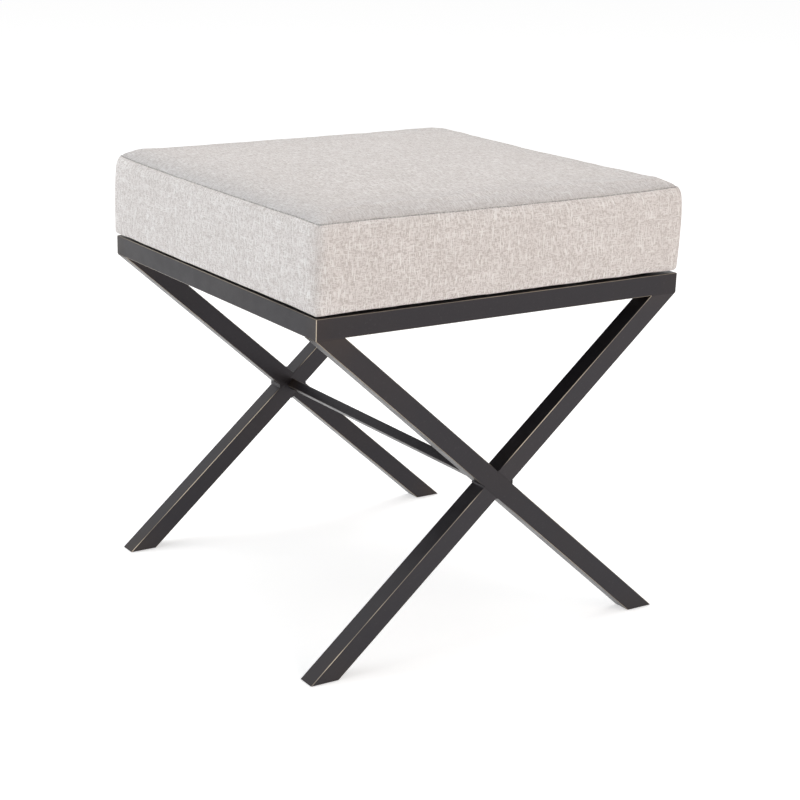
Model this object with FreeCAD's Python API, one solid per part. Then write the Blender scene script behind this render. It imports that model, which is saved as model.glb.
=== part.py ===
import FreeCAD, Part
import math
import os
from FreeCAD import Vector

# X frame stool: a welded steel frame on two pairs of crossed legs, and an upholstered box cushion.
# Millimetres, +Z up, X across the front, Y towards the back, origin on the floor under the middle.

# Steel frame
frame_width = 406.0  # outside, along X
frame_depth = 406.0  # outside, along Y
frame_height = 348.0  # floor to the top of the rails
tube_side = 20.0  # square tube of the rails and legs
tube_wall = 1.5
tube_arris = 1.0  # outer radius of the tube's long corners
stretcher_side = 10.0  # solid square bar between the two leg crossings
stretcher_arris = 0.8

# Corner tabs that carry the seat, and the screws through them
tab_leg = 44.0  # length along each rail
tab_nose = 10.0  # width of the blunt ends
tab_thickness = 3.0
tab_proud = 1.4  # height of the tab's top face above the rails
hole_setback = 15.0  # screw hole from both inner rail faces
screw_diameter = 6.0
screw_head_diameter = 11.5
screw_head_height = 3.4
screw_cover = 1.5  # board left above the screw's tip
hole_clearance = 0.5  # radial, in the tab and the dust cover
washer_diameter = 13.0
washer_thickness = 1.6
washer_clearance = 0.2  # radial, in the washer
tee_nut_diameter = 8.0  # barrel
tee_nut_flange_diameter = 19.0
tee_nut_flange_thickness = 1.3
tee_nut_height = 9.5  # barrel under the flange
tee_nut_clearance = 0.1  # radial, round the barrel, the flange and the screw

# Plastic end plugs of the four feet
plug_height = 18.0
plug_wall = 2.2
plug_floor = 3.5
plug_proud = 0.5  # height of the steel's cut end above the floor
plug_clearance = 0.15  # to each wall of the bore

# Cushion, from the bottom up
dust_cover_thickness = 0.8
dust_cover_setback = 13.0  # from the frame's outer faces
fabric_thickness = 1.2
hem_width = 24.0  # fabric turned in under the board
board_thickness = 12.0
board_corner = 5.0
cushion_overhang = 3.6  # cushion's top edge past the frame's outer faces
cushion_side_height = 80.0  # underside to the top edge at the corners
cushion_corner = 10.0  # plan radius
side_bulge = 3.1  # swell of the side faces at half height
bottom_draw_in = 3.0  # pull of the side faces at the lower edge
crown = 14.0  # rise of the top at its middle
edge_swell = 2.0  # rise of the top edge at the middle of each side
seam_drop = 2.6  # seam below the top edge
wadding_thickness = 3.0
layer_gap = 0.3  # between curved layers

# Blanks and cutting blocks run past what they cut
cut_margin = 1.0
side_overrun = 0.03  # of the cushion's side height

# Values that follow from the ones above
half_width = frame_width / 2
half_depth = frame_depth / 2
inner_half_width = half_width - tube_side
inner_half_depth = half_depth - tube_side
rail_underside = frame_height - tube_side
leg_angle = math.atan2(rail_underside, frame_width) + math.asin(
    tube_side / math.hypot(frame_width, rail_underside)
)
crossing_height = rail_underside / 2
leg_reach = math.hypot(frame_width, rail_underside) + 4 * tube_side

tab_top = frame_height + tab_proud
tab_bottom = tab_top - tab_thickness
hole_x = inner_half_width - hole_setback
hole_y = inner_half_depth - hole_setback
dust_cover_top = tab_top + dust_cover_thickness
cushion_bottom = dust_cover_top
board_bottom = cushion_bottom + fabric_thickness
board_top = board_bottom + board_thickness
top_edge = cushion_bottom + cushion_side_height
seam_height = top_edge - seam_drop
cushion_half_width = half_width + cushion_overhang
cushion_half_depth = half_depth + cushion_overhang
wadding_inset = fabric_thickness + layer_gap
foam_inset = wadding_inset + wadding_thickness + layer_gap


# Shapes used more than once


def rounded_rectangle(width, depth, radius, height):
    """Closed wire of lines and quarter arcs round the Z axis, at a height."""
    x = width / 2 - radius
    y = depth / 2 - radius
    corners = [(x, y, 0), (-x, y, 90), (-x, -y, 180), (x, -y, 270)]
    edges = []
    for index, (cx, cy, turn) in enumerate(corners):
        angles = [math.radians(turn + step) for step in (0, 45, 90)]
        start, middle, end = [
            Vector(cx + radius * math.cos(a), cy + radius * math.sin(a), height) for a in angles
        ]
        edges.append(Part.Arc(start, middle, end).toShape())
        next_x, next_y, next_turn = corners[(index + 1) % 4]
        next_angle = math.radians(next_turn)
        following = Vector(
            next_x + radius * math.cos(next_angle), next_y + radius * math.sin(next_angle), height
        )
        edges.append(Part.LineSegment(end, following).toShape())
    return Part.Wire(edges)


def prism(points, bottom, top):
    """Upright solid over a polygon of plan points."""
    corners = [Vector(x, y, bottom) for x, y in points]
    face = Part.Face(Part.makePolygon(corners + corners[:1]))
    return face.extrude(Vector(0, 0, top - bottom))


def block(x_size, y_size, bottom, top):
    """Box centred on the Z axis."""
    return Part.makeBox(x_size, y_size, top - bottom, Vector(-x_size / 2, -y_size / 2, bottom))


def aimed(shape, direction, middle):
    """A shape made along the Z axis, turned to a direction and moved to a point."""
    shape.Placement = FreeCAD.Placement(middle, FreeCAD.Rotation(Vector(0, 0, 1), direction))
    return shape


def bar(side, arris, length, direction, middle):
    """Square bar with rounded long corners, centred on a point, along a direction."""
    face = Part.Face(rounded_rectangle(side, side, arris, -length / 2))
    return aimed(face.extrude(Vector(0, 0, length)), direction, middle)


def sharp_bar(side, across, length, direction, middle):
    """Bar with sharp corners: its side in the plane of the direction, its width across it."""
    return aimed(block(side, across, -length / 2, length / 2), direction, middle)


def tube(length, direction, middle):
    """Square tube of the frame: the bar less its bore."""
    outside = bar(tube_side, tube_arris, length, direction, middle)
    bore_side = tube_side - 2 * tube_wall
    return outside.cut(sharp_bar(bore_side, bore_side, length + 2 * cut_margin, direction, middle))


def half_turn(shape):
    """The same shape at the opposite end of the stool."""
    turned = shape.copy()
    turned.rotate(Vector(0, 0, 0), Vector(0, 0, 1), 180)
    return turned


def at_corners(make):
    """One shape for each corner, made by a function of its two signs."""
    return [make(sx, sy) for sy in (-1, 1) for sx in (-1, 1)]


def cylinder(radius, bottom, top, x, y):
    return Part.makeCylinder(radius, top - bottom, Vector(x, y, bottom))


def save(name, shape):
    shape.exportStep("parts/" + name + ".step")


# Rails, mitred in plan at the four corners


def make_rails():
    outer = [
        (-half_width, -half_depth),
        (half_width, -half_depth),
        (half_width, half_depth),
        (-half_width, half_depth),
    ]
    inner = [
        (-inner_half_width, -inner_half_depth),
        (inner_half_width, -inner_half_depth),
        (inner_half_width, inner_half_depth),
        (-inner_half_width, inner_half_depth),
    ]
    middle_height = frame_height - tube_side / 2
    rails = {}
    for index, side in enumerate(("front", "right", "back", "left")):
        following = (index + 1) % 4
        keep = prism(
            [outer[index], outer[following], inner[following], inner[index]],
            rail_underside - cut_margin,
            frame_height + cut_margin,
        )
        x = (outer[index][0] + inner[following][0]) / 2
        y = (outer[index][1] + inner[following][1]) / 2
        if side in ("front", "back"):
            blank = tube(frame_width + 2 * cut_margin, Vector(1, 0, 0), Vector(0, y, middle_height))
        else:
            blank = tube(frame_depth + 2 * cut_margin, Vector(0, 1, 0), Vector(x, 0, middle_height))
        rails[side + "_rail"] = blank.common(keep)
    return rails


# Crossed legs: one runs through, the other is cut in two and butts against it


def leg_direction(sign):
    """Unit vector down a leg of the front frame: +1 falls to the right, -1 to the left."""
    return Vector(sign * math.cos(leg_angle), 0, -math.sin(leg_angle))


def make_front_legs():
    middle = Vector(0, -half_depth + tube_side / 2, crossing_height)
    heights = block(2 * frame_width, 2 * frame_depth, plug_proud, rail_underside)
    through = tube(leg_reach, leg_direction(1), middle).common(heights)
    slot = sharp_bar(tube_side, 2 * tube_side, leg_reach, leg_direction(1), middle)
    halves = tube(leg_reach, leg_direction(-1), middle).common(heights).cut(slot)
    lower, upper = sorted(halves.Solids, key=lambda solid: solid.CenterOfMass.z)
    return {"through_leg": through, "upper_half_leg": upper, "lower_half_leg": lower}


def make_front_plugs():
    """Moulded cups pressed into the two open feet of the front frame."""
    middle = Vector(0, -half_depth + tube_side / 2, crossing_height)
    bore_side = tube_side - 2 * tube_wall - 2 * plug_clearance
    plugs = {}
    hollow_side = bore_side - 2 * plug_wall
    for name, sign in (("through_foot_plug", 1), ("half_foot_plug", -1)):
        direction = leg_direction(sign)
        body = sharp_bar(bore_side, bore_side, leg_reach, direction, middle)
        hollow = sharp_bar(hollow_side, hollow_side, leg_reach, direction, middle)
        body = body.common(block(2 * frame_width, 2 * frame_depth, 0, plug_height))
        hollow = hollow.common(
            block(2 * frame_width, 2 * frame_depth, plug_floor, plug_height + cut_margin)
        )
        plugs[name] = body.cut(hollow)
    return plugs


def make_stretcher():
    """Bar between the crossings, turned so that its faces lie square with the through leg."""
    length = frame_depth - 2 * tube_side
    blank = bar(stretcher_side, stretcher_arris, length, Vector(0, 1, 0), Vector(0, 0, 0))
    blank.rotate(Vector(0, 0, 0), Vector(0, 1, 0), math.degrees(leg_angle))
    blank.translate(Vector(0, 0, crossing_height))
    return blank


# Seat fixings


def make_tab(sx, sy):
    """Plate welded into a corner of the rails, standing a little proud of them."""
    x = sx * inner_half_width
    y = sy * inner_half_depth
    outline = [
        (x, y),
        (x - sx * tab_leg, y),
        (x - sx * tab_leg, y - sy * tab_nose),
        (x - sx * tab_nose, y - sy * tab_leg),
        (x, y - sy * tab_leg),
    ]
    plate = prism(outline, tab_bottom, tab_top)
    hole = cylinder(
        screw_diameter / 2 + hole_clearance,
        tab_bottom - cut_margin,
        tab_top + cut_margin,
        sx * hole_x,
        sy * hole_y,
    )
    return plate.cut(hole)


def make_screw(sx, sy):
    """Pan head screw, from under the tab up into the tee nut."""
    x = sx * hole_x
    y = sy * hole_y
    head_top = tab_bottom - washer_thickness
    head = cylinder(screw_head_diameter / 2, head_top - screw_head_height, head_top, x, y)
    shank = cylinder(screw_diameter / 2, head_top, board_top - screw_cover, x, y)
    return head.fuse(shank).removeSplitter()


def make_washer(sx, sy):
    x = sx * hole_x
    y = sy * hole_y
    low = tab_bottom - washer_thickness
    disc = cylinder(washer_diameter / 2, low, tab_bottom, x, y)
    bore_radius = screw_diameter / 2 + washer_clearance
    return disc.cut(cylinder(bore_radius, low - cut_margin, tab_bottom + cut_margin, x, y))


def make_tee_nut(sx, sy):
    """Flange let into the board's top, barrel down its hole."""
    x = sx * hole_x
    y = sy * hole_y
    flange_bottom = board_top - tee_nut_flange_thickness
    flange = cylinder(tee_nut_flange_diameter / 2, flange_bottom, board_top, x, y)
    barrel = cylinder(tee_nut_diameter / 2, flange_bottom - tee_nut_height, board_top, x, y)
    bore_radius = screw_diameter / 2 + tee_nut_clearance
    return flange.fuse(barrel).cut(cylinder(bore_radius, board_bottom, board_top + cut_margin, x, y))


# Cushion layers


def make_dust_cover():
    width = frame_width - 2 * dust_cover_setback
    depth = frame_depth - 2 * dust_cover_setback
    sheet = block(width, depth, tab_top, dust_cover_top)
    radius = screw_diameter / 2 + hole_clearance
    low = tab_top - cut_margin
    high = dust_cover_top + cut_margin
    for hole in at_corners(lambda sx, sy: cylinder(radius, low, high, sx * hole_x, sy * hole_y)):
        sheet = sheet.cut(hole)
    return sheet


def side_reach(share):
    """How far the side face stands past its top edge, at a share of the cushion's side height."""
    return side_bulge * (1 - (2 * share - 1) ** 2) - bottom_draw_in * (1 - share)


def side_section(inset):
    """Upright face from a corner's axis out to the bulged side, past the cut at each end."""
    past_crown = side_overrun + crown / cushion_side_height
    points = []
    for share in (-side_overrun, 0.5, 1 + past_crown):
        x = cushion_corner + side_reach(share) - inset
        points.append(Vector(x, 0, cushion_bottom + share * cushion_side_height))
    low, middle, high = points
    low_axis = Vector(0, 0, low.z)
    high_axis = Vector(0, 0, high.z)
    outline = [
        Part.Arc(low, middle, high).toShape(),
        Part.LineSegment(high, high_axis).toShape(),
        Part.LineSegment(high_axis, low_axis).toShape(),
        Part.LineSegment(low_axis, low).toShape(),
    ]
    return Part.Face(Part.Wire(outline))


def bulged_sides(inset):
    """The side section run along the four sides and turned round the four corners."""
    section = side_section(inset)
    x = cushion_half_width - cushion_corner
    y = cushion_half_depth - cushion_corner
    low = section.BoundBox.ZMin
    pieces = []
    for turn, out, along in ((0, x, y), (90, y, x), (180, x, y), (270, y, x)):
        side = section.extrude(Vector(0, 2 * along, 0))
        side.translate(Vector(out, -along, 0))
        corner = section.revolve(Vector(0, 0, 0), Vector(0, 0, 1), 90)
        corner.translate(Vector(out, along, 0))
        for piece in (side, corner):
            piece.rotate(Vector(0, 0, 0), Vector(0, 0, 1), turn)
            pieces.append(piece)
    high = section.BoundBox.ZMax
    core = block(2 * x, 2 * y, low, high)
    return core.multiFuse(pieces).removeSplitter()


def cushion_form(inset, bottom):
    """The cushion's outer form less a layer, cut off flat at its bottom."""
    return bulged_sides(inset).common(crown_block(inset, bottom))


def crown_block(inset, bottom):
    """Block under the domed top, lofted from front to back through arched sections."""
    x = cushion_half_width + side_bulge + cut_margin
    y_reach = cushion_half_depth + side_bulge + cut_margin
    sections = []
    for share in (-1, 0, 1):
        y = share * y_reach
        dome = 1 - share**2
        end_height = top_edge + edge_swell * dome - inset
        middle_height = end_height + edge_swell + (crown - 2 * edge_swell) * dome
        left = Vector(-x, y, end_height)
        right = Vector(x, y, end_height)
        arch = Part.Arc(left, Vector(0, y, middle_height), right).toShape()
        low_right = Vector(x, y, bottom)
        low_left = Vector(-x, y, bottom)
        sections.append(
            Part.Wire(
                [
                    arch,
                    Part.LineSegment(right, low_right).toShape(),
                    Part.LineSegment(low_right, low_left).toShape(),
                    Part.LineSegment(low_left, left).toShape(),
                ]
            )
        )
    return Part.makeLoft(sections, True, False)


def make_covers():
    """Top panel and continuous side band, joined at the seam, with the band's hem turned under."""
    outside = cushion_form(0, cushion_bottom)
    inside = cushion_form(fabric_thickness, board_bottom)
    hem_inside = block(
        2 * (cushion_half_width - bottom_draw_in - hem_width),
        2 * (cushion_half_depth - bottom_draw_in - hem_width),
        cushion_bottom - cut_margin,
        board_bottom + cut_margin,
    )
    cover = outside.cut(inside).cut(hem_inside)
    reach = side_bulge + cut_margin
    below = block(
        2 * (cushion_half_width + reach),
        2 * (cushion_half_depth + reach),
        cushion_bottom - cut_margin,
        seam_height,
    )
    return {"cover_top_panel": cover.cut(below), "cover_side_band": cover.common(below)}


def make_wadding():
    outside = cushion_form(wadding_inset, board_bottom)
    inside = cushion_form(wadding_inset + wadding_thickness, cushion_bottom)
    return outside.cut(inside)


def make_board():
    edge_inset = bottom_draw_in + foam_inset + layer_gap
    outline = rounded_rectangle(
        2 * (cushion_half_width - edge_inset),
        2 * (cushion_half_depth - edge_inset),
        board_corner,
        board_bottom,
    )
    board = Part.Face(outline).extrude(Vector(0, 0, board_thickness))
    flange_seat = board_top - tee_nut_flange_thickness
    radius = tee_nut_diameter / 2 + tee_nut_clearance
    recess_radius = tee_nut_flange_diameter / 2 + tee_nut_clearance
    past_top = board_top + cut_margin
    for x, y in at_corners(lambda sx, sy: (sx * hole_x, sy * hole_y)):
        board = board.cut(cylinder(radius, board_bottom - cut_margin, past_top, x, y))
        board = board.cut(cylinder(recess_radius, flange_seat, past_top, x, y))
    return board


# Everything is written out, one file for each piece or set of like fasteners

os.makedirs("parts", exist_ok=True)

for name, rail in make_rails().items():
    save(name, rail)

for name, leg in make_front_legs().items():
    save("front_" + name, leg)
    save("back_" + name, half_turn(leg))

for name, plug in make_front_plugs().items():
    save("front_" + name, plug)
    save("back_" + name, half_turn(plug))

save("stretcher", make_stretcher())

corner_names = ("front_left", "front_right", "back_left", "back_right")
for name, tab in zip(corner_names, at_corners(make_tab)):
    save(name + "_corner_tab", tab)

save("seat_screws", Part.makeCompound(at_corners(make_screw)))
save("seat_washers", Part.makeCompound(at_corners(make_washer)))
save("tee_nuts", Part.makeCompound(at_corners(make_tee_nut)))

save("dust_cover", make_dust_cover())
save("seat_board", make_board())
save("foam_core", cushion_form(foam_inset, board_top))
save("wadding", make_wadding())
for name, cover in make_covers().items():
    save(name, cover)
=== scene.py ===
import math

import bmesh
import bpy
from mathutils import Matrix, Vector, noise


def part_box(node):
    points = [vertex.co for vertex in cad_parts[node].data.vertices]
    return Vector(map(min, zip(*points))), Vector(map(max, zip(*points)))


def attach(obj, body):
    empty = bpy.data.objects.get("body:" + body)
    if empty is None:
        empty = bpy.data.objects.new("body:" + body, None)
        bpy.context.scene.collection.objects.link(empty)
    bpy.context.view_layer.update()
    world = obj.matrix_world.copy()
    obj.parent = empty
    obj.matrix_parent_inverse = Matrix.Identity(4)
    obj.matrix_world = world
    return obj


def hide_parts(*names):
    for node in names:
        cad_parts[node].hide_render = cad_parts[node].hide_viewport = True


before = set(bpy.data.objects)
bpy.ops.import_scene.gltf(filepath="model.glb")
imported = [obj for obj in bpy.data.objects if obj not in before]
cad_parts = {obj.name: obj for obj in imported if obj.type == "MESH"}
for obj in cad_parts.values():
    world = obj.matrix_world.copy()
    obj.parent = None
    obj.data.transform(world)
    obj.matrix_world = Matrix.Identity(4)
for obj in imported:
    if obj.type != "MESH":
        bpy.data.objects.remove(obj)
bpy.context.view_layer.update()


# Camera and studio. The camera stands where the photograph's did, left of the stool and a
# little above the seat. The floor and the room behind it are plain white, with soft light
# from the left, from the front and from overhead.
camera_place = (-0.9935, -1.5211, 0.7346)
camera_turn = (math.radians(71.682), math.radians(-0.749), math.radians(-30.357))
floor_drop = 0.0004
room_light = 0.55
floor_glow = 0.5
lamp_target = Vector((0, 0, 0.3))


def link_seen(tree, unseen, seen):
    """A strength for the light that a surface gives, and one for how it looks, also in steel."""
    paths = tree.nodes.new("ShaderNodeLightPath")
    looked_at = tree.nodes.new("ShaderNodeMath")
    looked_at.operation = "MAXIMUM"
    tree.links.new(paths.outputs["Is Camera Ray"], looked_at.inputs[0])
    tree.links.new(paths.outputs["Is Glossy Ray"], looked_at.inputs[1])
    strength = tree.nodes.new("ShaderNodeMapRange")
    strength.inputs["To Min"].default_value = unseen
    strength.inputs["To Max"].default_value = seen
    tree.links.new(looked_at.outputs[0], strength.inputs["Value"])
    return strength.outputs[0]


def add_softbox(name, place, size, power, colour):
    """A square soft lamp, aimed at the middle of the stool."""
    turn = (lamp_target - Vector(place)).to_track_quat("-Z", "Y").to_euler()
    bpy.ops.object.light_add(type="AREA", location=place, rotation=turn)
    lamp = bpy.context.active_object
    lamp.name = name
    lamp.data.shape = "SQUARE"
    lamp.data.size = size
    lamp.data.energy = power
    lamp.data.color = colour


bpy.ops.object.select_all(action="DESELECT")
bpy.ops.object.camera_add(location=camera_place, rotation=camera_turn)
camera = bpy.context.active_object
camera.name = "camera"
camera.data.sensor_width = 36
camera.data.lens = 82.624
camera.data.shift_x = 0.1204
camera.data.shift_y = 0.068
bpy.context.scene.camera = camera
bpy.context.scene.view_settings.view_transform = "Standard"

room = bpy.data.worlds.new("white_room")
room.use_nodes = True
bpy.context.scene.world = room
tree = room.node_tree
tree.nodes.clear()
sky = tree.nodes.new("ShaderNodeBackground")
sky.inputs["Color"].default_value = (1.0, 1.0, 1.0, 1.0)
tree.links.new(link_seen(tree, room_light, 1.0), sky.inputs["Strength"])
world_output = tree.nodes.new("ShaderNodeOutputWorld")
tree.links.new(sky.outputs[0], world_output.inputs["Surface"])

bpy.ops.mesh.primitive_plane_add(size=30, location=(0, 0, -floor_drop))
floor = bpy.context.active_object
floor.name = "studio_floor"
floor_material = bpy.data.materials.new("studio_white")
floor_material.use_nodes = True
tree = floor_material.node_tree
tree.nodes.clear()
paint = tree.nodes.new("ShaderNodeBsdfDiffuse")
paint.inputs["Color"].default_value = (0.86, 0.86, 0.86, 1.0)
glow = tree.nodes.new("ShaderNodeEmission")
tree.links.new(link_seen(tree, 0.0, floor_glow), glow.inputs["Strength"])
both = tree.nodes.new("ShaderNodeAddShader")
tree.links.new(paint.outputs[0], both.inputs[0])
tree.links.new(glow.outputs[0], both.inputs[1])
floor_output = tree.nodes.new("ShaderNodeOutputMaterial")
tree.links.new(both.outputs[0], floor_output.inputs["Surface"])
floor.data.materials.append(floor_material)

add_softbox("left_softbox", (-3.3, 0.6, 1.5), 2.6, 52, (0.93, 0.97, 1.0))
add_softbox("front_softbox", (1.2, -3.6, 1.2), 2.6, 56, (1.0, 0.87, 0.785))
add_softbox("overhead_softbox", (0.6, 0.8, 3.4), 2.4, 34, (1.0, 0.99, 0.98))


# Rails and crossed legs. Square steel tube, mitred at the corners of the seat frame, sprayed
# with a satin charcoal finish and rubbed back to bright metal along its arrises. Where it was
# welded and handled the charcoal has a faint bronze cast.
tube_half = 0.010
rail_low, rail_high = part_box("front_rail")
right_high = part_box("right_rail")[1]
rail_height = (rail_low.z + rail_high.z) / 2
front_plane = -rail_low.y - tube_half
side_plane = right_high.x - tube_half
crossing = (0, 0, rail_low.z / 2)
leg_run = 2 * right_high.x
leg_diagonal = math.hypot(leg_run, rail_low.z)
leg_lean = math.atan2(rail_low.z, leg_run) + math.asin(2 * tube_half / leg_diagonal)

coat_colour = (0.0092, 0.0080, 0.0096)
bronze_colour = (0.030, 0.019, 0.010)
speck_colour = (0.034, 0.032, 0.033)
rubbed_colour = (0.82, 0.71, 0.55)
rub_start = 0.0003
rub_full = 0.0006
corner_wear = right_high.x - 0.0005
corner_fade = 0.0002
crossing_fade = 0.03
cast_fade = 0.05
rail_welds = 0.17
leg_welds = leg_diagonal / 2 - 0.06
leg_crossing_weld = 0.011


def link_math(tree, operation, first, second=0):
    """A Math node; each input is a socket or a number."""
    node = tree.nodes.new("ShaderNodeMath")
    node.operation = operation
    for socket, value in zip(node.inputs, (first, second)):
        if isinstance(value, (int, float)):
            socket.default_value = value
        else:
            tree.links.new(value, socket)
    return node.outputs[0]


def link_range(tree, value, low, high, to_low=0.0, to_high=1.0):
    """A Map Range node with a smooth step between two values."""
    node = tree.nodes.new("ShaderNodeMapRange")
    node.interpolation_type = "SMOOTHSTEP"
    node.inputs["From Min"].default_value = low
    node.inputs["From Max"].default_value = high
    node.inputs["To Min"].default_value = to_low
    node.inputs["To Max"].default_value = to_high
    tree.links.new(value, node.inputs["Value"])
    return node.outputs[0]


def link_split(tree, vector):
    """The X, the Y and the Z of a vector."""
    node = tree.nodes.new("ShaderNodeSeparateXYZ")
    tree.links.new(vector, node.inputs[0])
    return node.outputs["X"], node.outputs["Y"], node.outputs["Z"]


def link_noise(tree, vector, scale, detail=2.0, stretch=(1, 1, 1)):
    """A Noise Texture read through a Mapping node that stretches it."""
    mapping = tree.nodes.new("ShaderNodeMapping")
    mapping.inputs["Scale"].default_value = stretch
    tree.links.new(vector, mapping.inputs["Vector"])
    node = tree.nodes.new("ShaderNodeTexNoise")
    node.inputs["Scale"].default_value = scale
    node.inputs["Detail"].default_value = detail
    tree.links.new(mapping.outputs[0], node.inputs["Vector"])
    return node.outputs["Fac"]


def link_mix(tree, factor, first, second):
    """A colour Mix node; each colour is a socket or three numbers."""
    node = tree.nodes.new("ShaderNodeMix")
    node.data_type = "RGBA"
    tree.links.new(factor, node.inputs["Factor"])
    for socket, value in ((node.inputs[6], first), (node.inputs[7], second)):
        if isinstance(value, tuple):
            socket.default_value = (*value, 1.0)
        else:
            tree.links.new(value, socket)
    return node.outputs[2]


def link_bump(tree, shader, height, distance):
    """A Bump node of full strength on the shader's normal."""
    bump = tree.nodes.new("ShaderNodeBump")
    bump.inputs["Distance"].default_value = distance
    bump.inputs["Strength"].default_value = 1.0
    tree.links.new(height, bump.inputs["Height"])
    tree.links.new(bump.outputs[0], shader.inputs["Normal"])


def new_finish(name):
    """An empty procedural material: its tree, its shader and its object coordinates."""
    material = bpy.data.materials.new(name)
    material.use_nodes = True
    tree = material.node_tree
    shader = tree.nodes["Principled BSDF"]
    place = tree.nodes.new("ShaderNodeTexCoord").outputs["Object"]
    return material, tree, shader, place


def rubbed_charcoal(
    name, centre, turn, welds, wear, off_axis=0, arris=0.0090, crossing_weld=-0.1, gloss=0.36
):
    """Satin charcoal on a bar: its middle, the turn of its axis from X, where along it the end
    welds start, the least and most wear of its arrises, how far it lies off the middle plane,
    where its arris starts, where along it the crossing weld ends, and its gloss. The gloss is
    painted light: it is set bar by bar so that each bar comes out brighter or darker as the light
    falls."""
    material, tree, shader, place = new_finish(name)
    mapping = tree.nodes.new("ShaderNodeMapping")
    mapping.vector_type = "TEXTURE"
    mapping.inputs["Location"].default_value = centre
    mapping.inputs["Rotation"].default_value = turn
    tree.links.new(place, mapping.inputs["Vector"])
    along, side, rise = link_split(tree, mapping.outputs[0])
    along = link_math(tree, "ABSOLUTE", along)
    side = link_math(tree, "SUBTRACT", link_math(tree, "ABSOLUTE", side), off_axis)
    side = link_math(tree, "ABSOLUTE", side)
    edge = link_math(tree, "MINIMUM", side, link_math(tree, "ABSOLUTE", rise))
    on_arris = link_range(tree, edge, arris + rub_start, arris + rub_full)
    patches = link_noise(tree, mapping.outputs[0], 1.0, 3.0, (11, 55, 55))
    rubbed = link_math(tree, "MULTIPLY", on_arris, link_range(tree, patches, 0.36, 0.60, *wear))
    off_crossing = link_range(tree, along, crossing_weld, crossing_weld + crossing_fade)
    rubbed = link_math(tree, "MULTIPLY", rubbed, off_crossing)

    rightward, backward = link_split(tree, place)[:2]
    leftward = link_math(tree, "MULTIPLY", rightward, -1)
    forward = link_math(tree, "MULTIPLY", backward, -1)
    to_corner = link_math(tree, "MINIMUM", leftward, forward)
    on_corner = link_range(
        tree, to_corner, corner_wear - corner_fade, corner_wear + corner_fade, 0.0, 0.75
    )
    rubbed = link_math(tree, "MAXIMUM", rubbed, on_corner)

    cloud = link_noise(tree, place, 9.0, 3.0)
    near_weld = link_range(tree, along, welds, welds + cast_fade)
    cast = link_math(tree, "MULTIPLY", link_range(tree, cloud, 0.45, 0.75), 0.15)
    weld_cast = link_math(tree, "MULTIPLY", near_weld, link_range(tree, cloud, 0.3, 0.7, 0.0, 0.7))
    bronze = link_math(tree, "MAXIMUM", cast, weld_cast)
    charcoal = link_mix(tree, bronze, coat_colour, bronze_colour)
    mottle = link_noise(tree, place, 420.0)
    specks = link_range(tree, mottle, 0.58, 0.80, 0.0, 0.35)
    speckled = link_mix(tree, specks, charcoal, speck_colour)
    colour = link_mix(tree, rubbed, speckled, rubbed_colour)
    tree.links.new(colour, shader.inputs["Base Color"])

    shine = link_noise(tree, place, 60.0, 4.0)
    tree.links.new(link_range(tree, shine, 0.3, 0.7, 0.30, 0.38), shader.inputs["Roughness"])
    # Painted light: the gloss is set bar by bar, so that each bar comes out brighter or darker as
    # the light falls on it.
    shader.inputs["Specular IOR Level"].default_value = gloss
    shader.inputs["Specular Tint"].default_value = (0.86, 0.83, 0.90, 1.0)
    link_bump(tree, shader, link_noise(tree, place, 900.0), 0.00003)
    return material


def finish_nodes(material, *nodes):
    """The material in every slot of these CAD nodes."""
    for node in nodes:
        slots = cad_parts[node].data.materials
        for index in range(len(slots)):
            slots[index] = material


# One copy of the finish for each set of bars. Their glosses differ as painted light, making some
# bars brighter and others darker as the light falls on them.
front_rails_finish = rubbed_charcoal(
    "charcoal_front_rails",
    centre=(0, 0, rail_height),
    turn=(0, 0, 0),
    welds=rail_welds,
    wear=(0.25, 0.45),
    off_axis=front_plane,
)
side_rails_finish = rubbed_charcoal(
    "charcoal_side_rails",
    centre=(0, 0, rail_height),
    turn=(0, 0, math.radians(90)),
    welds=rail_welds,
    wear=(0.25, 0.45),
    off_axis=side_plane,
    gloss=0.30,
)
falling_right_finish = rubbed_charcoal(
    "charcoal_falling_right",
    centre=crossing,
    turn=(0, leg_lean, 0),
    welds=leg_welds,
    wear=(0.25, 0.60),
    off_axis=front_plane,
    crossing_weld=leg_crossing_weld,
    gloss=0.39,
)
falling_left_finish = rubbed_charcoal(
    "charcoal_falling_left",
    centre=crossing,
    turn=(0, -leg_lean, 0),
    welds=leg_welds,
    wear=(0.25, 1.0),
    off_axis=front_plane,
    crossing_weld=leg_crossing_weld,
    gloss=0.46,
)
finish_nodes(front_rails_finish, "front_rail", "back_rail")
finish_nodes(side_rails_finish, "left_rail", "right_rail")
finish_nodes(
    falling_right_finish, "front_through_leg", "back_upper_half_leg", "back_lower_half_leg"
)
finish_nodes(
    falling_left_finish, "back_through_leg", "front_upper_half_leg", "front_lower_half_leg"
)


# Stretcher. A solid square bar on edge between the two crossings, welded to the legs' inner
# faces and finished with them.
stretcher_arris = 0.0043
stretcher_welds = 0.15

stretcher_finish = rubbed_charcoal(
    "charcoal_stretcher",
    centre=crossing,
    turn=(leg_lean, 0, math.radians(90)),
    welds=stretcher_welds,
    wear=(0.10, 0.60),
    arris=stretcher_arris,
)
finish_nodes(stretcher_finish, "stretcher")


# Corner tabs. Plates cut from flat steel and welded into the corners under the seat, in the
# same charcoal, with no rubbed edges because nobody sees them.
tab_welds = 0.16

plain_finish = rubbed_charcoal(
    "charcoal_plain",
    centre=(0, 0, rail_height),
    turn=(0, 0, 0),
    welds=tab_welds,
    wear=(0.0, 0.0),
    arris=1.0,
)
finish_nodes(
    plain_finish,
    "front_left_corner_tab",
    "front_right_corner_tab",
    "back_left_corner_tab",
    "back_right_corner_tab",
)


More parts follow.
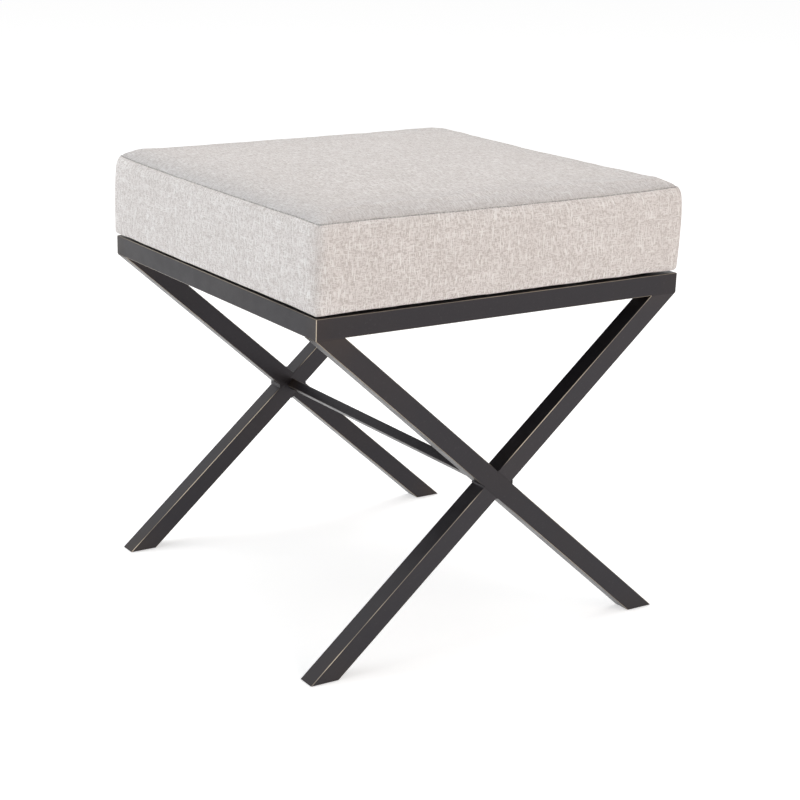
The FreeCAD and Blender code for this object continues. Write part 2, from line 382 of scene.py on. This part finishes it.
# Welds. The legs are welded to each other where they cross and to the rails at their tops. The
# beads are ground flush with the faces, so that no gap shows, and left as small fillets in the
# corners of each crossing. They are sprayed with the frame.
weld_width = 0.0017
weld_proud = 0.00006
weld_depth = 0.0009
weld_waver = 0.00025
waver_pace = 400
weld_cuts = 11
weld_inset = 0.0004
weld_overrun = 0.001
top_weld_rise = 0.0005
top_weld_margin = 0.002
fillet_leg = 0.0030
small_fillet_leg = 0.0012
smooth_angle = math.radians(35)
beads = []


def select_edges(piece, wanted):
    """In edit mode, selects the edges whose two ends the test accepts, and nothing else."""
    bpy.ops.mesh.select_mode(type="EDGE")
    bpy.ops.mesh.select_all(action="DESELECT")
    shape = bmesh.from_edit_mesh(piece.data)
    for edge in shape.edges:
        if wanted(edge.verts[0].co, edge.verts[1].co):
            edge.select_set(True)
    bmesh.update_edit_mesh(piece.data)


def join_pieces(pieces, name):
    """One object, at the origin, of several pieces."""
    bpy.ops.object.select_all(action="DESELECT")
    for piece in pieces:
        piece.select_set(True)
    bpy.context.view_layer.objects.active = pieces[0]
    bpy.ops.object.join()
    bpy.ops.object.transform_apply(location=True, rotation=True, scale=True)
    pieces[0].name = name
    pieces[0].data.name = name
    return pieces[0]


def add_weld_strip(middle, along, out, length):
    """A flush strip of weld: a slightly wavering ribbon, highest along its middle line."""
    across = out.cross(along)
    turn = Matrix((along, across, out)).transposed().to_4x4()
    size = Matrix.Diagonal((length, weld_width, weld_depth, 1))
    bpy.ops.mesh.primitive_cube_add(size=1)
    strip = bpy.context.active_object
    strip.matrix_world = Matrix.Translation(middle - out * weld_depth / 2) @ turn @ size
    bpy.ops.object.transform_apply(location=True, rotation=True, scale=True)
    bpy.ops.object.mode_set(mode="EDIT")
    select_edges(strip, lambda start, end: abs((end - start).dot(along)) > length / 2)
    bpy.ops.mesh.subdivide(number_cuts=weld_cuts)
    select_edges(strip, lambda start, end: abs((end - start).dot(across)) > weld_width / 2)
    bpy.ops.mesh.subdivide(number_cuts=1)
    bpy.ops.object.mode_set(mode="OBJECT")
    for vertex in strip.data.vertices:
        off_line = abs((vertex.co - middle).dot(across))
        vertex.co += out * weld_proud * (1 - 2 * off_line / weld_width)
        vertex.co += across * weld_waver * noise.noise(vertex.co * waver_pace)
    beads.append(strip)


def add_fillet(corner, first, second, leg, near, far):
    """A fillet in the corner between two bars, from near to far in Y."""
    bpy.ops.mesh.primitive_circle_add(vertices=3, fill_type="NGON")
    fillet = bpy.context.active_object
    places = (corner, corner + first * leg, corner + second * leg)
    for vertex, place in zip(fillet.data.vertices, places):
        vertex.co = (place.x, near, place.z)
    bpy.ops.object.mode_set(mode="EDIT")
    bpy.ops.mesh.select_all(action="SELECT")
    bpy.ops.mesh.extrude_region_move(TRANSFORM_OT_translate={"value": (0, far - near, 0)})
    bpy.ops.mesh.select_all(action="SELECT")
    bpy.ops.mesh.normals_make_consistent(inside=False)
    bpy.ops.object.mode_set(mode="OBJECT")
    beads.append(fillet)


across_lean = math.cos(leg_lean)
down_lean = math.sin(leg_lean)
strip_length = 2 * tube_half / math.sin(2 * leg_lean) + weld_overrun
leg_top_width = 2 * tube_half / down_lean
bpy.ops.object.select_all(action="DESELECT")
for back in (1, -1):
    along = Vector((across_lean, 0, -down_lean * back))
    across = Vector((down_lean * back, 0, across_lean))
    for inner in (1, -1):
        out = Vector((0, -back * inner, 0))
        face = -back * (front_plane + tube_half * inner)
        for side in (-1, 1):
            middle = Vector((0, face, crossing[2])) + across * side * (tube_half - weld_inset)
            middle += along * side * (tube_half / math.tan(2 * leg_lean))
            add_weld_strip(middle, along, out, strip_length)
            beside = side * (side_plane + tube_half - leg_top_width / 2)
            top_middle = Vector((beside, face, rail_low.z + top_weld_rise))
            add_weld_strip(top_middle, Vector((1, 0, 0)), out, leg_top_width - top_weld_margin)
    near = -back * (front_plane + tube_half)
    far = -back * (front_plane - tube_half)
    for sign in (-1, 1):
        above = Vector((0, 0, crossing[2] + sign * tube_half / across_lean))
        beside = Vector((sign * tube_half / down_lean, 0, crossing[2]))
        rising = Vector((across_lean, 0, sign * down_lean))
        falling = Vector((-across_lean, 0, sign * down_lean))
        add_fillet(above, rising, falling, small_fillet_leg, near, far)
        outward = Vector((sign * across_lean, 0, down_lean))
        downward = Vector((sign * across_lean, 0, -down_lean))
        leg = fillet_leg if sign * back > 0 else small_fillet_leg
        add_fillet(beside, outward, downward, leg, near, far)
welds = join_pieces(beads, "ground_welds")
bpy.ops.object.shade_smooth_by_angle(angle=smooth_angle)
welds.data.materials.append(plain_finish)
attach(welds, "root")


# Foot plugs. Moulded black plastic cups, hammered into the open ends of the legs. The stool
# stands on them, and their faces are scuffed a little paler.
plug_finish, tree, shader, place = new_finish("moulded_plastic")
scuffs = link_noise(tree, place, 140.0, 3.0, (1, 1, 4))
scuffed = link_range(tree, scuffs, 0.55, 0.75)
plug_colour = link_mix(tree, scuffed, (0.022, 0.022, 0.023), (0.060, 0.058, 0.055))
tree.links.new(plug_colour, shader.inputs["Base Color"])
tree.links.new(link_range(tree, scuffs, 0.3, 0.7, 0.5, 0.65), shader.inputs["Roughness"])
link_bump(tree, shader, link_noise(tree, place, 1600.0), 0.00004)
finish_nodes(
    plug_finish,
    "front_through_foot_plug",
    "front_half_foot_plug",
    "back_through_foot_plug",
    "back_half_foot_plug",
)


# Seat fixings. Zinc-plated pan head screws with washers pass up through the corner tabs into tee
# nuts that are let into the seat board. Each head is turned to a low dome and has a hexagon
# socket; only the heads and the washers show, from below.
screws_low, screws_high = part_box("seat_screws")
head_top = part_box("seat_washers")[0].z
head_radius = 0.00575
head_height = head_top - screws_low.z
head_round = 0.0024
shank_radius = 0.003
shank_length = screws_high.z - head_top
tip_bevel = 0.0005
socket_radius = 0.0023
socket_depth = 0.0019
screw_place = screws_high - Vector((head_radius, head_radius, 0))


def select_faces(piece, wanted):
    """In edit mode, selects the faces whose middle and normal the test accepts."""
    bpy.ops.mesh.select_mode(type="FACE")
    bpy.ops.mesh.select_all(action="DESELECT")
    shape = bmesh.from_edit_mesh(piece.data)
    for face in shape.faces:
        if wanted(face.calc_center_median(), face.normal):
            face.select_set(True)
    bmesh.update_edit_mesh(piece.data)


zinc_finish, tree, shader, place = new_finish("bright_zinc")
spangle = link_noise(tree, place, 500.0, 3.0)
zinc_colour = link_mix(tree, spangle, (0.50, 0.50, 0.48), (0.68, 0.67, 0.63))
tree.links.new(zinc_colour, shader.inputs["Base Color"])
tree.links.new(link_range(tree, spangle, 0.3, 0.7, 0.26, 0.42), shader.inputs["Roughness"])
shader.inputs["Metallic"].default_value = 1.0
finish_nodes(zinc_finish, "seat_washers", "tee_nuts")

bpy.ops.object.select_all(action="DESELECT")
bpy.ops.mesh.primitive_cylinder_add(
    vertices=6,
    radius=socket_radius,
    depth=2 * socket_depth,
    location=(screw_place.x, screw_place.y, screws_low.z),
)
socket = bpy.context.active_object
bpy.ops.mesh.primitive_cylinder_add(
    vertices=32,
    radius=head_radius,
    depth=head_height,
    location=(screw_place.x, screw_place.y, screws_low.z + head_height / 2),
)
screws = bpy.context.active_object
screws.name = "socket_screws"
bpy.ops.object.transform_apply(location=True, rotation=True, scale=True)
bpy.ops.object.mode_set(mode="EDIT")
select_faces(screws, lambda middle, normal: normal.z < -0.9)
bpy.ops.mesh.bevel(offset=head_round, segments=5, profile=0.6)
select_faces(screws, lambda middle, normal: normal.z > 0.9)
bpy.ops.mesh.inset(thickness=head_radius - shank_radius)
bpy.ops.mesh.extrude_region_move(TRANSFORM_OT_translate={"value": (0, 0, shank_length)})
bpy.ops.mesh.bevel(offset=tip_bevel)
bpy.ops.object.mode_set(mode="OBJECT")
bpy.ops.object.modifier_add(type="BOOLEAN")
screws.modifiers[-1].operation = "DIFFERENCE"
screws.modifiers[-1].object = socket
bpy.ops.object.modifier_apply(modifier=screws.modifiers[-1].name)
bpy.data.objects.remove(socket)
for offset in ((-2 * screw_place.x, 0, 0), (0, -2 * screw_place.y, 0)):
    bpy.ops.object.modifier_add(type="ARRAY")
    screws.modifiers[-1].use_relative_offset = False
    screws.modifiers[-1].use_constant_offset = True
    screws.modifiers[-1].constant_offset_displace = offset
    bpy.ops.object.modifier_apply(modifier=screws.modifiers[-1].name)
bpy.ops.object.shade_smooth_by_angle(angle=smooth_angle)
screws.data.materials.append(zinc_finish)
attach(screws, "root")
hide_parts("seat_screws")


# Seat board. Birch plywood, sawn square and sanded. It rests on the corner tabs, where the
# screws hold it, and the cushion is built up on it.
veneer = 0.0048

board_finish, tree, shader, place = new_finish("birch_plywood")
grain = link_noise(tree, place, 1.0, 4.0, (14, 220, 60))
board_height = link_split(tree, place)[2]
ply = link_math(tree, "FRACT", link_math(tree, "MULTIPLY", board_height, 1 / veneer))
wood = link_mix(tree, grain, (0.62, 0.45, 0.27), (0.46, 0.31, 0.17))
layered = link_mix(tree, link_range(tree, ply, 0.48, 0.52, 0.0, 0.35), wood, (0.30, 0.19, 0.10))
tree.links.new(layered, shader.inputs["Base Color"])
shader.inputs["Roughness"].default_value = 0.75
link_bump(tree, shader, grain, 0.0002)
finish_nodes(board_finish, "seat_board")


# Dust cover. Black non-woven cloth, stretched over the underside of the seat and stapled to the
# board close to the rails. It hangs a little between the staples and hides the fabric's hem.
dust_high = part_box("dust_cover")[1]
dust_half = dust_high.x
dust_grid = 95
dust_thickness = 0.0005
board_gap = 0.0002
dust_face = dust_high.z - dust_thickness - board_gap
dust_hang = 0.0011
dust_pucker = 0.0003
staple_line = 0.177
staple_pitch = 0.0295

dust_finish, tree, shader, place = new_finish("black_nonwoven")
fibres = link_noise(tree, place, 700.0, 4.0)
dots = tree.nodes.new("ShaderNodeTexVoronoi")
dots.inputs["Scale"].default_value = 620.0
tree.links.new(place, dots.inputs["Vector"])
dust_colour = link_mix(tree, fibres, (0.010, 0.010, 0.011), (0.030, 0.030, 0.032))
tree.links.new(dust_colour, shader.inputs["Base Color"])
shader.inputs["Roughness"].default_value = 0.95
link_bump(tree, shader, dots.outputs["Distance"], 0.0002)

bpy.ops.object.select_all(action="DESELECT")
bpy.ops.mesh.primitive_grid_add(
    x_subdivisions=dust_grid, y_subdivisions=dust_grid, size=2 * dust_half
)
dust = bpy.context.active_object
dust.name = "dust_cover_cloth"
for vertex in dust.data.vertices:
    x, y = vertex.co.x, vertex.co.y
    within_x = max(0.0, 1 - (x / staple_line) ** 2)
    within_y = max(0.0, 1 - (y / staple_line) ** 2)
    middle = min(1.0, 3 * min(within_x, within_y))
    pull = math.sin(math.pi * x / staple_pitch) ** 2 * math.exp(-8 * within_y)
    pull += math.sin(math.pi * y / staple_pitch) ** 2 * math.exp(-8 * within_x)
    hang = dust_hang * middle * (0.7 + 0.5 * noise.noise(Vector((x, y, 0)) * 9))
    hang += dust_pucker * pull * min(within_x, within_y) ** 0.5
    vertex.co.z = dust_face - hang
bpy.ops.object.modifier_add(type="SOLIDIFY")
dust.modifiers[-1].thickness = dust_thickness
dust.modifiers[-1].offset = 1
bpy.ops.object.modifier_apply(modifier=dust.modifiers[-1].name)
bpy.ops.object.shade_smooth_by_angle(angle=math.radians(40))
dust.data.materials.append(dust_finish)
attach(dust, "root")
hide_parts("dust_cover")


# Staples. Bright wire staples, driven by hand through the dust cover into the board at about
# one every three centimetres, none of them quite square to the edge.
staple_crown = 0.0095
staple_wire = 0.00065
staple_thick = 0.0005
staple_leg = 0.0021
leg_start = staple_crown / 2 - staple_wire
past_leg_start = leg_start + 0.0001
wire_bevel = 0.0002
staple_height = dust_face - staple_thick / 2
staple_slip = 0.002
staple_skew = 0.25
tab_reach = 0.136
staples_each_way = int(tab_reach / staple_pitch)

bpy.ops.object.select_all(action="DESELECT")
bpy.ops.mesh.primitive_cube_add(size=1)
staple = bpy.context.active_object
staple.scale = (staple_crown, staple_wire, staple_thick)
bpy.ops.object.transform_apply(location=True, rotation=True, scale=True)
bpy.ops.object.mode_set(mode="EDIT")
for x in (-leg_start, leg_start):
    bpy.ops.mesh.select_all(action="SELECT")
    bpy.ops.mesh.bisect(plane_co=(x, 0, 0), plane_no=(1, 0, 0))
select_faces(staple, lambda middle, normal: normal.z > 0.9 and abs(middle.x) > leg_start)
bpy.ops.mesh.extrude_region_move(TRANSFORM_OT_translate={"value": (0, 0, staple_leg)})
select_edges(
    staple,
    lambda start, end: max(start.z, end.z) < 0
    and min(abs(start.x), abs(end.x)) > past_leg_start,
)
bpy.ops.mesh.bevel(offset=wire_bevel, segments=2)
bpy.ops.object.mode_set(mode="OBJECT")

staples = []
for number in range(-staples_each_way, staples_each_way + 1):
    for edge in range(4):
        seed = Vector((number * 1.7, edge * 3.1, 0.5))
        slip = staple_slip * noise.noise(seed)
        skew = staple_skew * noise.noise(seed * 2.3)
        along = number * staple_pitch + slip
        copy = staple.copy()
        copy.data = staple.data.copy()
        bpy.context.scene.collection.objects.link(copy)
        copy.matrix_world = (
            Matrix.Rotation(edge * math.pi / 2, 4, "Z")
            @ Matrix.Translation((along, staple_line + slip, staple_height))
            @ Matrix.Rotation(skew, 4, "Z")
        )
        staples.append(copy)
bpy.data.objects.remove(staple)
staples = join_pieces(staples, "dust_cover_staples")
staples.data.materials.append(zinc_finish)
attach(staples, "root")


# Cushion. A foam block with a layer of wadding, in a sewn cover of slubby linen-look cloth: a
# square top panel seamed to one continuous side band, pulled down over the board's edge and
# stapled underneath. The foam stands a little proud, so the top crowns and the sides swell.
band_low, band_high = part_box("cover_side_band")
panel_low, panel_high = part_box("cover_top_panel")
cushion_bottom = band_low.z
cloth_nap = 0.0002
half_width = band_high.x + cloth_nap
half_depth = band_high.y + cloth_nap
seam_rise = 0.0041
side_height = panel_low.z - cushion_bottom + seam_rise
corner_radius = 0.016
low_corner_radius = 0.0115
low_corner_spread = 0.0035
low_corner_share = 0.6
low_roll = 0.0030
low_roll_rows = 4
high_roll = 0.0108
high_roll_rows = 7
straight_rows = 13
roll_inset = 0.0056
roll_end = math.radians(77)
widest = 0.62
low_draw = 0.0016
high_draw = 0.0031
shoulder_rise = 0.0064
shoulder_width = 0.078
edge_lift = -0.0012
dome = panel_high.z - cushion_bottom - side_height - shoulder_rise - 2 * edge_lift - cloth_nap
grid_count = 72
cloth_frames = 20
most_swell = 0.0010
seam_gap = 0.0012
seam_depth = 0.0013
seam_wander = 0.0004
hem_wander = 0.0009
hem_lift = 0.0017
corner_sway = 0.0014
gather_reach = 0.007
# How far the painted shade behind the seam reaches into the top panel.
painted_valley_shade_reach = 0.022


def crowd(share):
    """A share from -1 to 1 moved so that rows of faces lie closer together near both ends."""
    return 0.5 * share + 0.5 * math.sin(share * math.pi / 2)


def side_profile():
    """The band from its lower edge to the seam: how far each row is drawn in, and its height."""
    rows = []
    for step in range(low_roll_rows + 1):
        turn = math.radians(90) * step / low_roll_rows
        rows.append((low_roll * (1 - math.sin(turn)), low_roll * (1 - math.cos(turn))))
    straight = side_height - high_roll - low_roll
    for step in range(1, straight_rows):
        rows.append((0.0, low_roll + straight * step / straight_rows))
    for step in range(high_roll_rows + 1):
        turn = roll_end * step / high_roll_rows
        rise = high_roll * math.sin(turn) / math.sin(roll_end)
        rows.append((roll_inset * (1 - math.cos(turn)), side_height - high_roll + rise))
    profile = []
    for drawn, height in rows:
        share = height / side_height
        drawn += low_draw * max(0.0, 1 - share / widest) ** 2
        drawn += high_draw * max(0.0, (share - widest) / (1 - widest)) ** 2
        profile.append((drawn, height))
    return profile


def round_corner(across, along, drawn, up):
    """A plan point, given as shares of the half sizes, on a square whose corners are arcs. They
    are tightest at the hem, where the cloth is pulled round the board."""
    reach = max(abs(across), abs(along))
    x = across * (half_width - drawn)
    y = along * (half_depth - drawn)
    pulled = low_corner_radius + low_corner_spread * across
    eased = min(1.0, up / low_corner_share)
    radius = (pulled + (corner_radius - pulled) * eased - drawn) * reach**3
    inner_x = (half_width - drawn) * reach - radius
    inner_y = (half_depth - drawn) * reach - radius
    past_x = abs(x) - inner_x
    past_y = abs(y) - inner_y
    if past_x <= 0 or past_y <= 0 or radius <= 0:
        return x, y
    turn = past_y / (past_x + past_y) * math.pi / 2
    x = math.copysign(inner_x + radius * math.cos(turn), x)
    y = math.copysign(inner_y + radius * math.sin(turn), y)
    return x, y


profile = side_profile()
seam_row = len(profile) - 1
cloth_height = [0.0]
for (drawn, height), (next_drawn, next_height) in zip(profile, profile[1:]):
    cloth_height.append(cloth_height[-1] + math.hypot(next_drawn - drawn, next_height - height))

bpy.ops.object.select_all(action="DESELECT")
bpy.ops.mesh.primitive_grid_add(x_subdivisions=grid_count, y_subdivisions=grid_count, size=2)
cushion = bpy.context.active_object
cushion.name = "seat_cushion"
cover = cushion.data
for vertex in cover.vertices:
    vertex.co.x = crowd(vertex.co.x)
    vertex.co.y = crowd(vertex.co.y)
bpy.ops.object.mode_set(mode="EDIT")
bpy.ops.mesh.duplicate_move(TRANSFORM_OT_translate={"value": (0, 0, 1)})
bpy.ops.mesh.select_mode(type="EDGE")
bpy.ops.mesh.select_all(action="DESELECT")
bpy.ops.mesh.select_non_manifold()
bpy.ops.mesh.bridge_edge_loops(number_cuts=seam_row - 1)
bpy.ops.mesh.select_all(action="SELECT")
bpy.ops.mesh.normals_make_consistent(inside=False)
bpy.ops.mesh.faces_shade_smooth()
bpy.ops.object.mode_set(mode="OBJECT")

flat_weave = cover.uv_layers.new(name="weave")
for polygon in cover.polygons:
    toward = polygon.normal
    for loop in polygon.loop_indices:
        across, along, up = cover.vertices[cover.loops[loop].vertex_index].co
        x = across * half_width
        y = along * half_depth
        height = cloth_height[round(up * seam_row)]
        if abs(toward.z) > 0.5:
            place_on_cloth = (x, y)
        elif toward.y < -0.5:
            place_on_cloth = (x + half_width, height)
        elif toward.x < -0.5:
            place_on_cloth = (-y - half_depth, height)
        elif toward.x > 0.5:
            place_on_cloth = (2 * half_width + half_depth + y, height)
        else:
            place_on_cloth = (3 * half_width + 2 * half_depth - x, height)
        flat_weave.data[loop].uv = place_on_cloth

stapled = cushion.vertex_groups.new(name="stapled")
sewn = cushion.vertex_groups.new(name="sewn")
for vertex in cover.vertices:
    across, along, up = vertex.co
    row = round(up * seam_row)
    reach = max(abs(across), abs(along))
    drawn, height = profile[row]
    if row == 0:
        stapled.add([vertex.index], 1.0, "REPLACE")
    if row == seam_row and reach > 0.9999:
        sewn.add([vertex.index], 1.0, "REPLACE")
    arch_x = 1 - across**2
    arch_y = 1 - along**2
    near_seam = (height / side_height) ** 4
    z = cushion_bottom + height + edge_lift * (arch_x + arch_y) * near_seam
    if row == seam_row:
        shoulder = 1 - max(0.0, (reach - 1) / shoulder_width + 1) ** 2
        z += shoulder_rise * shoulder + dome * arch_x * arch_y
    at_corner = abs(across * along) ** 10
    z -= corner_sway * across * along * at_corner * near_seam
    x, y = round_corner(across, along, drawn, up)
    wander = hem_wander * noise.noise(Vector((x, y, 0)) * 34)
    z += (hem_lift + wander) * (1 - at_corner) * reach**20 * (1 - up) ** 6
    vertex.co = (x, y, z)

before = [(vertex.co.copy(), vertex.normal.copy()) for vertex in cover.vertices]
bpy.ops.object.modifier_add(type="CLOTH")
cloth = cushion.modifiers[-1]
cloth.settings.quality = 5
cloth.settings.mass = 0.3
cloth.settings.tension_stiffness = 25
cloth.settings.compression_stiffness = 20
cloth.settings.shear_stiffness = 12
cloth.settings.bending_stiffness = 0.6
cloth.settings.use_pressure = True
cloth.settings.uniform_pressure_force = 4
cloth.settings.effector_weights.gravity = 0
cloth.settings.vertex_group_mass = "stapled"
cloth.collision_settings.use_collision = False
for step in range(1, cloth_frames + 1):
    bpy.context.scene.frame_set(step)
bpy.ops.object.modifier_apply(modifier=cloth.name)
for vertex, (start, out) in zip(cover.vertices, before):
    moved = (vertex.co - start).dot(out)
    vertex.co = start + out * most_swell * math.tanh(moved / most_swell)

bpy.ops.object.mode_set(mode="EDIT")
bpy.ops.mesh.select_mode(type="EDGE")
bpy.ops.mesh.select_all(action="DESELECT")
cushion.vertex_groups.active_index = cushion.vertex_groups["sewn"].index
bpy.ops.object.vertex_group_select()
bpy.ops.mesh.bevel(offset=seam_gap, segments=2)
shape = bmesh.from_edit_mesh(cover)
seam_line = shape.verts.layers.float.new("seam")
for vertex in shape.verts:
    if vertex.select and all(face.select for face in vertex.link_faces):
        vertex.co -= vertex.normal * seam_depth
        vertex[seam_line] = 1.0
    if vertex.select:
        vertex.co.z += seam_wander * noise.noise(vertex.co * 45)
bmesh.update_edit_mesh(cover)
bpy.ops.object.mode_set(mode="OBJECT")
bpy.ops.object.modifier_add(type="SUBSURF")
cushion.modifiers[-1].levels = 1
cushion.modifiers[-1].render_levels = 1
bpy.ops.object.modifier_apply(modifier=cushion.modifiers[-1].name)

seam_drawn = profile[seam_row][0]
seam_height = cushion_bottom + side_height
# Two values kept on the cover: how close the band's cloth lies to the seam, which gathers it into
# puckers, and painted shade for the top panel, strongest at the seam and fading inward.
for name in ("gathers", "painted_valley_shade"):
    cover.attributes.new(name=name, type="FLOAT", domain="POINT")
gathers = cover.attributes["gathers"].data
painted_valley_shade = cover.attributes["painted_valley_shade"].data
for vertex in cover.vertices:
    x, y, z = vertex.co
    inside = min(half_width - seam_drawn - abs(x), half_depth - seam_drawn - abs(y))
    apart = math.hypot(inside, z - seam_height)
    if inside < 0.001 and z < seam_height + 0.002:
        gathers[vertex.index].value = math.exp(-apart / gather_reach)
    elif inside > 0:
        painted_valley_shade[vertex.index].value = math.exp(-apart / painted_valley_shade_reach)

thread_pitch = 0.00076
dark_yarn = (0.625, 0.575, 0.55)
light_yarn = (0.905, 0.865, 0.845)
slub_colour = (1.0, 0.98, 0.96)
aged_colour = (0.52, 0.47, 0.43)
# A cooler grey painted as shade on the top panel just behind the seam.
painted_valley_shade_colour = (0.40, 0.40, 0.41)
# A dark colour painted as the shadow in the seam's groove.
painted_seam_shadow_colour = (0.27, 0.25, 0.24)


def link_attribute(tree, name):
    """The value that the cover keeps under this name."""
    node = tree.nodes.new("ShaderNodeAttribute")
    node.attribute_name = name
    return node.outputs["Fac"]


def link_yarn(tree, number, spread, along, pace, detail=1.0):
    """A noise that is one thread wide and changes slowly along it."""
    both = tree.nodes.new("ShaderNodeCombineXYZ")
    tree.links.new(link_math(tree, "MULTIPLY", number, spread), both.inputs[0])
    tree.links.new(link_math(tree, "MULTIPLY", along, pace), both.inputs[1])
    return link_noise(tree, both.outputs[0], 1.0, detail)


linen_finish, tree, shader, place = new_finish("slub_linen")
cloth_place = tree.nodes.new("ShaderNodeUVMap")
cloth_place.uv_map = "weave"
threads = tree.nodes.new("ShaderNodeMapping")
threads.inputs["Scale"].default_value = (1 / thread_pitch, 1 / thread_pitch, 1)
tree.links.new(cloth_place.outputs[0], threads.inputs["Vector"])
warps, wefts = link_split(tree, threads.outputs[0])[:2]
warp_wave = link_math(tree, "SINE", link_math(tree, "MULTIPLY", warps, math.pi))
weft_wave = link_math(tree, "SINE", link_math(tree, "MULTIPLY", wefts, math.pi))
crossed = link_math(tree, "MULTIPLY", warp_wave, weft_wave)
warp_on_top = link_range(tree, crossed, -0.25, 0.25, 0.35, 0.75)
warp_number = link_math(tree, "FLOOR", warps)
weft_number = link_math(tree, "FLOOR", wefts)
tone = tree.nodes.new("ShaderNodeMix")
tree.links.new(warp_on_top, tone.inputs["Factor"])
tree.links.new(link_yarn(tree, weft_number, 5.77, warps, 0.18), tone.inputs[2])
tree.links.new(link_yarn(tree, warp_number, 7.31, wefts, 0.15), tone.inputs[3])
flecks = link_math(tree, "MULTIPLY", link_noise(tree, threads.outputs[0], 0.6, 1.0), 0.2)
flecked = link_math(tree, "ADD", link_math(tree, "MULTIPLY", tone.outputs[0], 0.8), flecks)
yarn = link_mix(tree, link_range(tree, flecked, 0.40, 0.58), dark_yarn, light_yarn)
slubs = link_yarn(tree, warp_number, 3.17, wefts, 0.055, 0.0)
slubs = link_range(tree, slubs, 0.66, 0.72, 0.0, 0.9)
slubbed = link_mix(tree, slubs, yarn, slub_colour)
cross_slubs = link_yarn(tree, weft_number, 4.41, warps, 0.05, 0.0)
cross_slubs = link_range(tree, cross_slubs, 0.67, 0.73, 0.0, 0.6)
slubbed = link_mix(tree, cross_slubs, slubbed, slub_colour)
cloud = link_range(tree, link_noise(tree, place, 24.0, 3.0), 0.3, 0.7, 0.0, 0.10)
aged = link_mix(tree, cloud, slubbed, aged_colour)
# Painted shade: the top panel is greyed towards the seam, standing in for the shade behind the
# seam's roll.
painted_shade_behind_seam = link_math(tree, "MULTIPLY", link_attribute(tree, "painted_valley_shade"), 0.46)
shaded = link_mix(tree, painted_shade_behind_seam, aged, painted_valley_shade_colour)
# Painted shadow: a dark line along the seam's groove, broken into dashes, standing in for the
# shadow there; no stitching thread is drawn.
in_seam = link_range(tree, link_attribute(tree, "seam"), 0.25, 0.65)
seam_shadow_dashes = link_noise(tree, threads.outputs[0], 0.45, 0.0)
seam_shadow_dashes = link_range(tree, seam_shadow_dashes, 0.35, 0.60, 0.25, 0.9)
painted_seam_shadow = link_math(tree, "MULTIPLY", in_seam, seam_shadow_dashes)
tree.links.new(link_mix(tree, painted_seam_shadow, shaded, painted_seam_shadow_colour), shader.inputs["Base Color"])
shader.inputs["Roughness"].default_value = 0.88
shader.inputs["Specular IOR Level"].default_value = 0.25
shader.inputs["Sheen Weight"].default_value = 0.12
shader.inputs["Sheen Roughness"].default_value = 0.5
puckers = link_noise(tree, cloth_place.outputs[0], 1.0, 2.0, (230, 40, 1))
puckers = link_math(tree, "MULTIPLY", puckers, link_attribute(tree, "gathers"))
height = link_math(tree, "ADD", link_math(tree, "ABSOLUTE", crossed), tone.outputs[0])
height = link_math(tree, "ADD", height, link_math(tree, "MULTIPLY", puckers, 4.0))
link_bump(tree, shader, height, 0.00025)
cushion.data.materials.append(linen_finish)

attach(cushion, "root")
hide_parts("foam_core", "wadding", "cover_top_panel", "cover_side_band")
